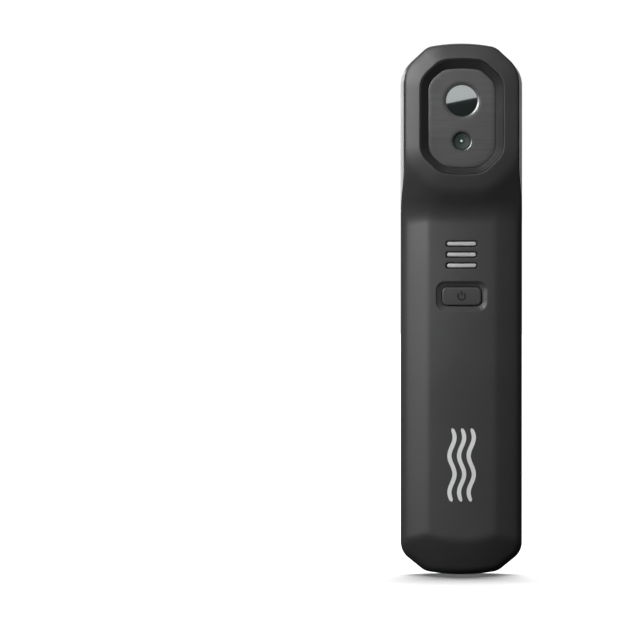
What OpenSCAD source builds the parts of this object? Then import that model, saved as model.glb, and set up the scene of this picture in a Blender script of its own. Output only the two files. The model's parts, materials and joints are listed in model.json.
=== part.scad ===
// Clip-on thermal imaging camera: a hand-sized wand with a camera head, standing on its lower end.
// The lenses look along -Y, the phone clip is on the +Y side, and +Z runs up the handle.

/* [Housing] */
// Overall length from the lower end to the top of the head
length = 149; // [147:0.5:152]
// Overall width
width = 34; // [33.6:0.1:34.6]
// Front of the head, measured from the middle of the whole depth
rim_y = -18; // [-18.4:0.1:-17.8]
// Crown of the handle's front face
face_y = -12; // [-12.3:0.1:-11.8]
// Back face of the housing
back_y = 4.5; // [4.4:0.1:4.6]
// Wall thickness of the two shells
wall = 1.7; // [1.5:0.1:1.8]

/* [Cameras] */
// Height of the thermal lens
thermal_z = 133; // [132:0.5:134]
// Radius of the thermal lens
thermal_r = 4.4; // [4:0.1:4.6]
// Height of the visible-light camera
visible_z = 121.7; // [121:0.1:122]
// Width of the window plate
plate_w = 18.7; // [18.4:0.1:18.9]
// Height of the window plate
plate_h = 27.9; // [27.6:0.1:28]

/* [Controls] */
// Height of the power button
button_z = 78.2; // [77:0.1:79]
// Height of the middle light bar
bars_z = 89.85; // [89:0.05:90.5]
// Distance between light bars
bar_pitch = 3.05; // [2.8:0.05:3.3]

/* [Phone clip] */
// Top of the fixed lower jaw
jaw_low_z = 79.4; // [78.5:0.1:80]
// Underside of the sliding upper jaw at rest
jaw_high_z = 141.2; // [140.8:0.1:141.6]
// How far the clip slides open
clip_travel = 32; // [28:1:32]
// Rear faces of the jaws, measured from the middle of the whole depth
jaw_y = 18; // [17.5:0.1:18.4]

/* [Hidden] */
$fn = 48;

black = "#2c2c2e";
dark = "#1b1b1d";
grey = "#b7b7b5";
rubber = "#3a3a3c";
steel = "#c8c8c8";
board_green = "#1f5a38";

// Housing
half_w = width / 2;
head_inset = 1;
neck_z = 101.6;
flare_top_z = 117.4;
part_y = -3;
wing_front_y = -7.9;
gap = 0.3;
eps = 0.01;
face_crease = 9.55;
crease_y = face_y + 0.5;
bevel_y = crease_y + (half_w - face_crease) * tan(25);
chin_z = 9.3;
lip_z = 107.5;
underside_slope = 0.717;
handle_top_z = 106;
inner_face_y = face_y + 1.8;
inner_head_y = -13.4;

// Window recess
recess_z = 128.6;
recess_w = 23.4;
recess_h = 32.6;
plate_z = 128.2;
plate_y = -15;
plate_t = 0.7;
gasket_t = 0.3;
ledge_y = plate_y + plate_t + gasket_t;
recess_cut = 5.75;
recess_corner_r = 6;
plate_cut = 4.2;
plate_corner_r = 5;
edge_bow = 0.35;
lens_hole_r = thermal_r + 1;
trim_r = lens_hole_r - 0.05;
visible_hole_r = 2.75;

// Thermal camera
barrel_r = 5.2;
barrel_back_y = -10.2;
shutter_x = -9.2;
shutter_z = thermal_z - 3.5;
shutter_arm = 9.84;
shutter_rest_a = 60.8;
shutter_blade_r = 3.4;
shutter_pin_r = 0.6;
core_y = -8.6;
core_back_y = -4.6;
core_half = 6.5;
core_board_y = -4.5;
carrier_y = inner_head_y + 0.1;
carrier_t = 1.2;
carrier_back_y = carrier_y + carrier_t;
carrier_holes = [[-12.9, 118], [12.9, 118], [-12.9, 138], [12.9, 138]];
carrier_posts = [[8.8, 114.5], [-6.3, 114.5], [8.8, 140]];

// Main board and what it carries
board_y = -8;
board_t = 1;
board_back_y = board_y + board_t;
board_half = 10.6;
board_low_z = 5;
board_high_z = 101;
board_holes = [[-8.4, 20], [8.4, 20], [-8.4, 97], [8.4, 97]];
board_screw_r = 0.6;
bar_zs = [bars_z - bar_pitch, bars_z, bars_z + bar_pitch];
bar_w = 8.35;
bar_h = 1.25;
slot_w = 9;
slot_h = 1.75;
pocket_w = 14.05;
pocket_h = 8;
pocket_y = face_y + 1;
cap_w = 11;
cap_h = 5.1;
cap_y = face_y + 0.1;
cap_gap = 0.2;
press = 0.35;
plunger_y = -9.4;
plunger_r = 0.9;
switch_y = -8.75;
port_w = 8.94;
port_t = 3.26;
port_l = 7.35;
port_z = 0.8;
port_y = board_back_y + port_t / 2;

// Fasteners that hold the shells together
shell_screws = [[-12.9, 13], [12.9, 13], [-12.9, 97.5], [12.9, 97.5]];
shell_screw_r = 0.8;
shell_boss_r = 2;

// Clip slide
channel_y = 0.2;
channel_half = 8.9;
channel_low_z = 22;
channel_wide_z = 92;
strap_half = 4.8;
strap_gap = 0.2;
strap_low_z = 56;
strap_high_z = 108;
channel_high_z = strap_high_z + clip_travel + 0.5;
cover_y = 3;
inner_back_y = cover_y - 1.2;
cover_half = 10.4;
cover_low_z = 17;
cover_high_z = 101;
cover_holes = [[-6, 19.4], [6, 19.4]];
plate_front_y = back_y + gap;
plate_back_y = plate_front_y + 1.5;
rest_y = plate_back_y + 0.6;
carriage_low_z = neck_z + gap;
carriage_top_z = 148.6;
wing_top_z = 143.5;
jaw_half = 12;
jaw_t = 4;
lip_y = jaw_y - 2.8;
lip_h = 3;
jaw_pad_t = 0.8;
bar_y = (channel_y + cover_y) / 2;
spring_pin_r = 0.6;
spring_x = 7.4;
spring_r = 1.2;
spring_wire = 0.3;
anchor_z = 25;
crossbar_z = 57.5;
jaw_screw_x = 7;
jaw_screw_z = jaw_low_z - 3;
strap_screw_x = 2;
strap_screw_z = 105.1;

// Points of one arc of radius r from angle a0 to a1, starting at p
function arc_from(p, r, a0, a1, n, first = 0) = [
    for (i = [first:n])
        let (a = a0 + (a1 - a0) * i / n)
            p + r * [cos(a) - cos(a0), sin(a) - sin(a0)]
];

// One end of the outline, from the side to the apex at height 0: corner, diagonal, knee and crown
function end_cap(half, crown_r, crown_a, knee_r, diagonal_a, side_r) =
    let (
        run = half - crown_r * cos(crown_a) - knee_r * (cos(diagonal_a) - cos(crown_a))
            - side_r * (1 - cos(diagonal_a)),
        p1 = [half, 0] + side_r * [cos(diagonal_a) - 1, sin(diagonal_a)],
        p2 = p1 + run / sin(diagonal_a) * [-sin(diagonal_a), cos(diagonal_a)],
        p3 = p2 + knee_r * [cos(crown_a) - cos(diagonal_a), sin(crown_a) - sin(diagonal_a)],
        apex = p3[1] + crown_r * (1 - sin(crown_a)),
        points = concat(
            arc_from([half, 0], side_r, 0, diagonal_a, 6),
            arc_from(p2, knee_r, diagonal_a, crown_a, 4),
            arc_from(p3, crown_r, crown_a, 90, 4, 1)
        )
    ) [for (p = points) [p[0], p[1] - apex]];

function top_cap(half, z) = [
    for (p = end_cap(half, 46, 80, 5, 47.3, half - 8)) [p[0], z + p[1]]
];

function bottom_cap(half, z) =
    let (cap = end_cap(half, 57, 81, 5, 51, half - 11.5))
        [for (i = [len(cap) - 1:-1:0]) [cap[i][0], z - cap[i][1]]];

function both_sides(right) = concat(
    right,
    [for (i = [len(right) - 2:-1:1]) [-right[i][0], right[i][1]]]
);

// Outline of the housing seen from the front, with the head narrower above the neck
function body_outline(inset) = both_sides(concat(
    bottom_cap(half_w - inset, inset),
    [[half_w - inset, neck_z - inset], [half_w - head_inset - inset, neck_z - inset]],
    top_cap(half_w - head_inset - inset, length - inset)
));

// The same outline at the front, where the neck flares smoothly into the head
function flared_outline() = both_sides(concat(
    bottom_cap(half_w, 0),
    [
        for (i = [0:8])
            let (t = i / 8)
                [half_w - head_inset * (1 - cos(180 * t)) / 2, neck_z + (flare_top_z - neck_z) * t]
    ],
    top_cap(half_w - head_inset, length)
));

function full_outline() = both_sides(concat(bottom_cap(half_w, 0), top_cap(half_w, length)));

function unit(v) = v / norm(v);

// Corner b of a polygon, rounded with radius r between its neighbours a and c
function rounded_corner(a, b, c, r, n) = r == 0 ? [b] :
    let (
        u = unit(a - b),
        v = unit(c - b),
        half_angle = acos(u * v) / 2,
        centre = b + unit(u + v) * r / sin(half_angle),
        p = b + u * r / tan(half_angle) - centre,
        q = b + v * r / tan(half_angle) - centre,
        a0 = atan2(p[1], p[0]),
        turn = atan2(q[1], q[0]) - a0,
        sweep = turn > 180 ? turn - 360 : turn < -180 ? turn + 360 : turn
    ) [for (i = [0:n]) centre + r * [cos(a0 + sweep * i / n), sin(a0 + sweep * i / n)]];

function rounded(points, radii, n = 5) =
    let (count = len(points))
        [
            for (i = [0:count - 1])
                each rounded_corner(
                    points[(i + count - 1) % count], points[i], points[(i + 1) % count],
                    is_list(radii) ? radii[i] : radii, n
                )
        ];

function round_rect(w, h, r, z) = rounded(
    [[-w / 2, z - h / 2], [w / 2, z - h / 2], [w / 2, z + h / 2], [-w / 2, z + h / 2]], r
);

// Rectangle with slanted, softened corners and bowed ends, shared by the window recess and plate
function octagon(w, h, cut, r, z) =
    let (x = w / 2, y = h / 2, b = y - edge_bow)
        [
            for (p = rounded([
                [-x + cut, -b], [0, -y], [x - cut, -b], [x, -y + cut], [x, y - cut],
                [x - cut, b], [0, y], [-x + cut, b], [-x, y - cut], [-x, -y + cut]
            ], [r, 0, r, r, r, r, 0, r, r, r], 3)) p + [0, z]
        ];

function recess_outline(inset) =
    octagon(recess_w - 2 * inset, recess_h - 2 * inset, recess_cut, recess_corner_r, recess_z);

function plate_outline(inset) =
    octagon(plate_w - 2 * inset, plate_h - 2 * inset, plate_cut, plate_corner_r, plate_z);

// Prisms along each axis
module along_y(points, y0, y1) {
    translate([0, y1, 0]) rotate([90, 0, 0]) linear_extrude(y1 - y0) polygon(points);
}

module along_x(points, x0, x1) {
    translate([x0, 0, 0]) rotate([90, 0, 90]) linear_extrude(x1 - x0) polygon(points);
}

module along_z(points, z0, z1) {
    translate([0, 0, z0]) linear_extrude(z1 - z0) polygon(points);
}

// Box from its low and high corners
module block(low, high) {
    translate(low) cube(high - low);
}

// Cylinder along Y at (x, z)
module rod_y(x, z, r, y0, y1) {
    translate([x, y1, z]) rotate([90, 0, 0]) cylinder(r = r, h = y1 - y0);
}

// Cylinder along X at (y, z)
module rod_x(y, z, r, x0, x1) {
    translate([x0, y, z]) rotate([0, 90, 0]) cylinder(r = r, h = x1 - x0);
}

module tube_y(x, z, r_out, r_in, y0, y1) {
    difference() {
        rod_y(x, z, r_out, y0, y1);
        rod_y(x, z, r_in, y0 - 1, y1 + 1);
    }
}

// Screw pointing along -Y with its head towards +Y
module screw_y(x, z, shank_r, head_r, tip_y, seat_y, head_t) {
    rod_y(x, z, shank_r, tip_y, seat_y + eps);
    difference() {
        rod_y(x, z, head_r, seat_y, seat_y + head_t);
        block(
            [x - head_r * 0.6, seat_y + head_t * 0.6, z - head_r * 0.12],
            [x + head_r * 0.6, seat_y + head_t + 1, z + head_r * 0.12]
        );
        block(
            [x - head_r * 0.12, seat_y + head_t * 0.6, z - head_r * 0.6],
            [x + head_r * 0.12, seat_y + head_t + 1, z + head_r * 0.6]
        );
    }
}

// Front shell: handle and head, each the common part of the outline, a section and a side profile
function handle_profile() = rounded(
    [
        [part_y, 0], [-8.5, 0], [face_y - 0.05, chin_z],
        [face_y - 0.05, handle_top_z], [part_y, handle_top_z]
    ],
    [0, 2, 1, 0, 0]
);

function head_profile() = rounded(
    [
        [part_y, lip_z - (part_y - rim_y) / underside_slope], [rim_y, lip_z],
        [rim_y, length - 3.5], [rim_y + 3.5, length], [part_y, length]
    ],
    [0, 2, 2.5, 2.5, 0]
);

function handle_section() = rounded(
    [
        [-half_w, part_y], [-half_w, bevel_y], [-face_crease, crease_y], [-5, face_y + 0.14],
        [0, face_y], [5, face_y + 0.14], [face_crease, crease_y], [half_w, bevel_y], [half_w, part_y]
    ],
    [0, 2, 1.5, 0, 0, 0, 1.5, 2, 0]
);

function head_section() = rounded(
    [
        [-half_w - eps, part_y], [-half_w - eps, -14], [-14, rim_y],
        [14, rim_y], [half_w + eps, -14], [half_w + eps, part_y]
    ],
    [0, 3, 3, 3, 3, 0]
);

module front_form() {
    intersection() {
        union() {
            along_y(flared_outline(), rim_y - 1, wing_front_y - gap);
            along_y(body_outline(0), wing_front_y - gap - eps, part_y);
        }
        union() {
            intersection() {
                along_x(handle_profile(), -width, width);
                along_z(handle_section(), -1, handle_top_z);
            }
            intersection() {
                along_x(head_profile(), -width, width);
                along_z(head_section(), 80, length + 1);
            }
        }
    }
}

module front_cavity() {
    section = [
        [-half_w + wall, part_y + 1], [-half_w + wall, bevel_y + 0.7], [-face_crease + 0.2, inner_face_y],
        [face_crease - 0.2, inner_face_y], [half_w - wall, bevel_y + 0.7], [half_w - wall, part_y + 1]
    ];
    profile = [
        [part_y + 1, wall], [-6.6, wall], [inner_face_y - eps, chin_z + 0.6], [inner_face_y - eps, 102],
        [inner_head_y, 109.5], [inner_head_y, length - wall], [part_y + 1, length - wall]
    ];
    head_half = half_w - head_inset - wall;
    intersection() {
        along_y(body_outline(wall), rim_y, part_y + 1);
        along_x(profile, -width, width);
        union() {
            along_z(section, 0, 104);
            block([-head_half, inner_head_y, 100], [head_half, part_y + 1, length]);
        }
    }
}

module front_shell() {
    color(black) difference() {
        union() {
            difference() {
                front_form();
                front_cavity();
            }
            for (p = shell_screws)
                rod_y(p[0], p[1], shell_boss_r, -8.2, part_y);
            for (p = board_holes)
                rod_y(p[0], p[1], 1.6, inner_face_y - 0.5, board_y);
        }
        along_y(recess_outline(0), rim_y - 1, part_y);
        along_y(round_rect(pocket_w, pocket_h, 2.4, button_z), face_y - 1, pocket_y);
        along_y(round_rect(cap_w + 2 * cap_gap, cap_h + 2 * cap_gap, 1.6, button_z), face_y - 1, board_y);
        for (z = bar_zs)
            along_y(round_rect(slot_w, slot_h, 0.5, z), face_y - 1, board_y);
        for (p = shell_screws)
            rod_y(p[0], p[1], shell_screw_r, -7.6, part_y + 1);
        for (p = board_holes)
            rod_y(p[0], p[1], board_screw_r, -10.4, board_y + 1);
        for (p = carrier_holes)
            rod_y(p[0], p[1], 0.7, -16.4, inner_head_y + 1);
        along_z(
            rounded([
                [-port_w / 2 - 0.2, port_y - port_t / 2 - 0.15], [port_w / 2 + 0.2, port_y - port_t / 2 - 0.15],
                [port_w / 2 + 0.2, port_y + port_t / 2 + 0.15], [-port_w / 2 - 0.2, port_y + port_t / 2 + 0.15]
            ], 1.7),
            -1, 4
        );
        seal_ring();
    }
}

// Rear shell: closed channel for the clip slide, open to the back
module rear_form() {
    section = rounded(
        [[-half_w, part_y], [half_w, part_y], [half_w, back_y], [-half_w, back_y]],
        [0, 0, 3, 3]
    );
    profile = rounded(
        [[part_y, 0], [back_y, 0], [back_y, length], [part_y, length]],
        [0, 3, 3, 0]
    );
    intersection() {
        along_y(body_outline(0), part_y, back_y);
        along_x(profile, -width, width);
        along_z(section, -1, length + 1);
    }
}

module rear_shell() {
    channel_wall = 1.2;
    color(black) difference() {
        union() {
            difference() {
                rear_form();
                along_y(body_outline(wall), part_y - 1, inner_back_y);
            }
            block(
                [-channel_half - channel_wall, channel_y - channel_wall, channel_low_z - channel_wall],
                [channel_half + channel_wall, cover_y + eps, channel_wide_z + channel_wall]
            );
            block(
                [-strap_half - strap_gap - channel_wall, channel_y - channel_wall, channel_wide_z],
                [strap_half + strap_gap + channel_wall, cover_y + eps, channel_high_z + channel_wall]
            );
            for (p = shell_screws)
                rod_y(p[0], p[1], shell_boss_r, part_y, cover_y + eps);
            for (p = cover_holes)
                rod_y(p[0], p[1], 1.6, channel_y - 1, cover_y + eps);
        }
        block([-channel_half, channel_y, channel_low_z], [channel_half, back_y + 1, channel_wide_z]);
        block(
            [-strap_half - strap_gap, channel_y, channel_wide_z - eps],
            [strap_half + strap_gap, back_y + 1, channel_high_z]
        );
        block([-cover_half - 0.1, cover_y, cover_low_z - 0.1], [cover_half + 0.1, back_y + 1, cover_high_z + 0.1]);
        for (side = [-1, 1])
            block([side * 8.2 - 1.2, cover_y, cover_high_z], [side * 8.2 + 1.2, cover_y + 0.8, cover_high_z + 1.6]);
        for (p = shell_screws) {
            rod_y(p[0], p[1], shell_screw_r, part_y - 1, back_y + 1);
            rod_y(p[0], p[1], 1.7, cover_y - 0.1, back_y + 1);
        }
        for (p = cover_holes)
            rod_y(p[0], p[1], 0.6, channel_y, back_y + 1);
        rod_x(bar_y, anchor_z, spring_pin_r, -channel_half - 0.9, channel_half + 0.9);
        seal_ring();
    }
}

module seal_ring() {
    difference() {
        along_y(body_outline(0.5), part_y - 0.3, part_y + 0.3);
        along_y(body_outline(1.1), part_y - 1, part_y + 1);
    }
}

module shell_seal() {
    color(rubber) seal_ring();
}

// Window and its sloped bezel
module window_bezel() {
    color(dark) difference() {
        along_y(recess_outline(0.05), rim_y + 0.3, inner_head_y);
        hull() {
            along_y(recess_outline(0.5), rim_y - 1, rim_y + 0.3);
            along_y(plate_outline(-0.1), plate_y - 0.2, plate_y);
        }
        along_y(plate_outline(-0.1), plate_y - 1, ledge_y);
        along_y(plate_outline(1), plate_y - 1, inner_head_y + 1);
    }
}

module window_gasket() {
    color(rubber) difference() {
        along_y(plate_outline(0), plate_y + plate_t, ledge_y);
        along_y(plate_outline(1), plate_y, ledge_y + 1);
    }
}

module window_plate() {
    color("#4a4a4c") difference() {
        along_y(plate_outline(0), plate_y, plate_y + plate_t);
        rod_y(0, thermal_z, lens_hole_r, plate_y - 1, plate_y + 2);
        rod_y(0, visible_z, visible_hole_r, plate_y - 1, plate_y + 2);
    }
}

// Profile in (radius, y) turned about a lens axis at height z, facing -Y
module lens_turn(z) {
    translate([0, 0, z]) rotate([90, 0, 0]) rotate_extrude() children();
}

module thermal_window() {
    bulge = 0.35;
    color("#59656a") lens_turn(thermal_z) polygon([
        [0, -ledge_y - 0.05], [thermal_r, -ledge_y - 0.05], [thermal_r, -plate_y],
        for (i = [1:5])
            let (r = thermal_r * (1 - i / 5))
                [r, -plate_y + bulge * (1 - pow(r / thermal_r, 2))]
    ]);
}

module thermal_lens_trim() {
    color(dark) lens_turn(thermal_z) polygon([
        [thermal_r + 0.02, -ledge_y], [trim_r, -ledge_y], [trim_r, -plate_y + 0.15],
        [trim_r - 0.15, -plate_y + 0.3], [thermal_r + 0.4, -plate_y + 0.3], [thermal_r + 0.02, -plate_y - 0.1]
    ]);
}

module thermal_lens_barrel() {
    color(dark) tube_y(0, thermal_z, barrel_r, 4, ledge_y + 0.05, barrel_back_y);
}

module shutter_housing() {
    front = barrel_back_y + 0.1;
    side_t = 0.6;
    low = [-11.4, front, 125.5];
    high = [5.6, core_y - 0.1, 142.6];
    color("#26262a") {
        difference() {
            block(low, high);
            block(low + [side_t, 0.3, side_t], high + [-side_t, 1, -side_t]);
            rod_y(0, thermal_z, 3, front - 1, core_y);
        }
        rod_y(shutter_x, shutter_z, shutter_pin_r, front + 0.3 - eps, core_y - 0.2);
    }
}

module shutter_blade() {
    y0 = -9.6;
    y1 = -9.3;
    disc = [shutter_x + shutter_arm * cos(shutter_rest_a), shutter_z + shutter_arm * sin(shutter_rest_a)];
    arm = 0.8;
    color(steel) difference() {
        union() {
            rod_y(disc[0], disc[1], shutter_blade_r, y0, y1);
            rod_y(shutter_x, shutter_z, 1.3, y0, y1);
            translate([shutter_x, y0, shutter_z]) rotate([0, -shutter_rest_a, 0])
                block([0, 0, -arm], [shutter_arm - 2, y1 - y0, arm]);
        }
        rod_y(shutter_x, shutter_z, shutter_pin_r + 0.02, y0 - 1, y1 + 1);
    }
}

module shutter_motor() {
    color("#8a8d90") rod_y(shutter_x, shutter_z, 2.2, core_y, core_back_y);
}

module thermal_core() {
    color("#33363a") difference() {
        block([-core_half, core_y, thermal_z - core_half], [core_half, core_back_y, thermal_z + core_half]);
        rod_y(0, thermal_z, 3.4, core_y - 1, core_y + 1.2);
    }
}

module core_board() {
    color(board_green) block([-7.5, core_board_y, 112], [10, core_board_y + 0.8, 142]);
}

module visible_lens() {
    bulge = 0.3;
    lens_r = 1.5;
    color("#223033") lens_turn(visible_z) polygon([
        [0, -ledge_y], [lens_r, -ledge_y], [lens_r, -plate_y - 0.5],
        for (i = [1:4])
            let (r = lens_r * (1 - i / 4))
                [r, -plate_y - 0.5 + bulge * (1 - pow(r / lens_r, 2))]
    ]);
}

module visible_lens_trim() {
    color(dark) lens_turn(visible_z) polygon([
        [1.52, -ledge_y], [visible_hole_r - 0.05, -ledge_y], [visible_hole_r - 0.05, -plate_y + 0.1],
        [visible_hole_r - 0.2, -plate_y + 0.2], [visible_hole_r - 0.45, -plate_y + 0.2], [1.52, -plate_y - 0.6]
    ]);
}

module visible_camera() {
    color("#222428") {
        rod_y(0, visible_z, 2.3, ledge_y + 0.05, carrier_back_y + 0.1);
        block([-3.2, carrier_back_y, visible_z - 3.2], [3.2, -8.7, visible_z + 3.2]);
    }
}

module camera_flex() {
    color("#a0672c") block([-2.2, -8.7, visible_z - 0.1], [2.2, core_board_y, visible_z + 0.1]);
}

module camera_carrier() {
    frame = octagon(2 * (half_w - head_inset - wall) - 0.4, 33, 5, 2, recess_z - 0.4);
    color("#303236") difference() {
        union() {
            along_y(frame, carrier_y, carrier_back_y);
            for (p = carrier_posts)
                rod_y(p[0], p[1], 1.1, carrier_y, core_board_y);
        }
        rod_y(0, thermal_z, barrel_r + 0.05, carrier_y - 1, carrier_back_y + 1);
        rod_y(0, visible_z, 2.35, carrier_y - 1, carrier_back_y + 1);
        for (p = carrier_holes)
            rod_y(p[0], p[1], 0.8, carrier_y - 1, carrier_back_y + 1);
    }
}

module carrier_screws() {
    color(steel) for (p = carrier_holes)
        screw_y(p[0], p[1], 0.7, 1.2, -16.3, carrier_back_y, 0.8);
}

// Main board group
module main_board() {
    color(board_green) difference() {
        along_y(
            round_rect(2 * board_half, board_high_z - board_low_z, 2, (board_low_z + board_high_z) / 2),
            board_y, board_back_y
        );
        for (p = board_holes)
            rod_y(p[0], p[1], board_screw_r + 0.05, board_y - 1, board_back_y + 1);
    }
}

module board_screws() {
    color(steel) for (p = board_holes)
        screw_y(p[0], p[1], board_screw_r, 1.1, -10.2, board_back_y, 0.6);
}

module shield_can() {
    color("#b9bcc0") block([-8, -9.6, 40], [8, board_y, 66]);
}

module status_leds() {
    color("#e9e3c0") for (z = bar_zs, x = [-2.4, 0, 2.4])
        block([x - 0.5, -8.6, z - 0.4], [x + 0.5, board_y, z + 0.4]);
}

module light_guide() {
    color("#a9a9a9") {
        block([-5.5, inner_face_y + 0.1, bar_zs[0] - 1.6], [5.5, inner_face_y + 0.8, bar_zs[2] + 1.6]);
        for (z = bar_zs)
            along_y(round_rect(bar_w, bar_h, 0.3, z), face_y + 0.25, inner_face_y + 0.2);
    }
}

module power_button() {
    color("#343437") {
        along_y(round_rect(cap_w, cap_h, 1.4, button_z), cap_y, inner_face_y + 0.6);
        along_y(round_rect(cap_w + 1.6, cap_h + 1.6, 1.4, button_z), inner_face_y + 0.05, inner_face_y + 0.7);
    }
}

module tact_switch() {
    color("#d2d2d2") difference() {
        block([-1.9, switch_y, button_z - 1.9], [1.9, board_y, button_z + 1.9]);
        rod_y(0, button_z, plunger_r + 0.05, switch_y - 1, board_y - 0.1);
    }
}

module switch_plunger() {
    color(dark) rod_y(0, button_z, plunger_r, plunger_y, switch_y + 0.25);
}

module battery() {
    color("#8d96a3") along_y(round_rect(20.6, 60, 1.5, 59), -6.4, -1.7);
}

module battery_pad() {
    color(rubber) block([-9, board_back_y, 35], [9, -6.4, 83]);
}

module head_flex() {
    color("#a0672c") {
        block([-4, board_back_y, 94], [4, board_back_y + 0.2, 113]);
        block([-4, board_back_y, 112.8], [4, core_board_y, 113]);
    }
}

module antenna() {
    color("#c28b4e") block([-8, inner_back_y - 0.3, 6], [8, inner_back_y, 17]);
}

module usb_c_port() {
    outer = rounded([
        [-port_w / 2, port_y - port_t / 2], [port_w / 2, port_y - port_t / 2],
        [port_w / 2, port_y + port_t / 2], [-port_w / 2, port_y + port_t / 2]
    ], 1.5);
    wall_t = 0.3;
    inner = rounded([
        [-port_w / 2 + wall_t, port_y - port_t / 2 + wall_t], [port_w / 2 - wall_t, port_y - port_t / 2 + wall_t],
        [port_w / 2 - wall_t, port_y + port_t / 2 - wall_t], [-port_w / 2 + wall_t, port_y + port_t / 2 - wall_t]
    ], 1.25);
    color(steel) difference() {
        along_z(outer, port_z, port_z + port_l);
        along_z(inner, port_z - 1, port_z + port_l - 1);
    }
}

module usb_c_tongue() {
    color(dark) block([-3.35, port_y - 0.35, port_z + 0.8], [3.35, port_y + 0.35, port_z + port_l - 1]);
}

module housing_screws() {
    color(steel) for (p = shell_screws)
        screw_y(p[0], p[1], shell_screw_r, 1.6, -7.4, cover_y - 0.1, 1.1);
}

// Rear cover and the fixed lower jaw
module rear_cover() {
    color(black) difference() {
        union() {
            along_y(
                round_rect(2 * cover_half, cover_high_z - cover_low_z, 1.5, (cover_low_z + cover_high_z) / 2),
                cover_y, back_y
            );
            for (side = [-1, 1])
                block([side * 8.2 - 1, cover_y, cover_high_z - 1], [side * 8.2 + 1, cover_y + 0.7, cover_high_z + 1.5]);
        }
        for (p = cover_holes) {
            rod_y(p[0], p[1], 0.7, cover_y - 1, back_y + 1);
            rod_y(p[0], p[1], 1.3, back_y - 0.8, back_y + 1);
        }
        for (side = [-1, 1]) {
            rod_y(side * jaw_screw_x, jaw_screw_z, 0.8, cover_y - 1, back_y + 1);
            rod_y(side * jaw_screw_x, jaw_screw_z, 1.5, cover_y - 1, cover_y + 0.7);
        }
    }
}

module cover_screws() {
    color(steel) for (p = cover_holes)
        screw_y(p[0], p[1], 0.6, 1.2, channel_y + 0.1, back_y - 0.8, 0.7);
}

module cover_pad() {
    color(rubber) along_y(round_rect(18, 16, 2, 92.5), back_y, rest_y);
}

module rating_label() {
    color("#9a9a9a") along_y(round_rect(15, 20, 1, 35), back_y, back_y + 0.1);
}

module lower_jaw() {
    profile = rounded(
        [
            [back_y, jaw_low_z - 7], [back_y + 5, jaw_low_z - 7], [jaw_y, jaw_low_z - jaw_t + 1],
            [jaw_y, jaw_low_z + lip_h], [lip_y, jaw_low_z + lip_h], [lip_y, jaw_low_z], [back_y, jaw_low_z]
        ],
        [0, 2, 2, 1, 1, 0, 0]
    );
    color(grey) difference() {
        along_x(profile, -jaw_half, jaw_half);
        for (side = [-1, 1])
            rod_y(side * jaw_screw_x, jaw_screw_z, 0.8, back_y - 1, back_y + 5);
    }
}

module lower_jaw_pad() {
    color(rubber) block([-jaw_half + 1, rest_y, jaw_low_z], [jaw_half - 1, lip_y - 0.2, jaw_low_z + jaw_pad_t]);
}

module lower_jaw_screws() {
    color(steel) for (side = [-1, 1]) {
        rod_y(side * jaw_screw_x, jaw_screw_z, 0.8, cover_y + 0.6, back_y + 4.8);
        rod_y(side * jaw_screw_x, jaw_screw_z, 1.4, cover_y + 0.05, cover_y + 0.7);
    }
}

// Sliding clip: saddle over the back of the head with the upper jaw
module clip_carriage() {
    jaw = rounded(
        [
            [plate_front_y, jaw_high_z], [lip_y, jaw_high_z], [lip_y, jaw_high_z - lip_h],
            [jaw_y, jaw_high_z - lip_h], [jaw_y, jaw_high_z + 2], [plate_back_y + 3, jaw_high_z + jaw_t],
            [plate_front_y, jaw_high_z + jaw_t]
        ],
        [0, 0, 1, 1, 2, 2, 0]
    );
    color(grey) difference() {
        union() {
            intersection() {
                difference() {
                    along_y(full_outline(), wing_front_y, plate_back_y);
                    along_y(both_sides([
                        [0, 0], [half_w - head_inset + 0.15, 0], [half_w - head_inset + 0.15, length + 9], [0, length + 9]
                    ]), wing_front_y - 1, plate_front_y);
                }
                block([-width, wing_front_y, carriage_low_z], [width, plate_back_y, wing_top_z]);
            }
            intersection() {
                along_y(full_outline(), plate_front_y, plate_back_y);
                block([-width, plate_front_y, carriage_low_z], [width, plate_back_y, carriage_top_z]);
            }
            along_x(jaw, -jaw_half, jaw_half);
        }
        for (side = [-1, 1]) {
            rod_y(side * strap_screw_x, strap_screw_z, 0.75, plate_front_y - 1, plate_back_y + 1);
            rod_y(side * strap_screw_x, strap_screw_z, 1.3, plate_back_y - 0.8, plate_back_y + 1);
        }
    }
}

module upper_jaw_pad() {
    color(rubber) block(
        [-jaw_half + 1, rest_y, jaw_high_z - jaw_pad_t], [jaw_half - 1, lip_y - 0.2, jaw_high_z]
    );
}

module carriage_pad() {
    color(rubber) along_y(round_rect(24, 34, 3, 121), plate_back_y, rest_y);
}

module slide_strap() {
    color("#77797c") difference() {
        union() {
            block([-strap_half, channel_y + strap_gap, strap_low_z], [strap_half, cover_y - strap_gap, strap_high_z]);
            block([-3.5, cover_y - 0.5, carriage_low_z + 0.4], [3.5, plate_front_y, strap_high_z]);
        }
        for (side = [-1, 1])
            rod_y(side * strap_screw_x, strap_screw_z, 0.7, channel_y + 0.8, plate_front_y + 1);
        rod_x(bar_y, crossbar_z, spring_pin_r, -strap_half - 1, strap_half + 1);
    }
}

module strap_screws() {
    color(steel) for (side = [-1, 1])
        screw_y(side * strap_screw_x, strap_screw_z, 0.7, 1.2, channel_y + 0.9, plate_back_y - 0.8, 0.7);
}

module spring_crossbar() {
    color(steel) rod_x(bar_y, crossbar_z, spring_pin_r, -channel_half + 0.4, channel_half - 0.4);
}

module spring_anchor() {
    color(steel) rod_x(bar_y, anchor_z, spring_pin_r, -channel_half - 0.8, channel_half + 0.8);
}

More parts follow.
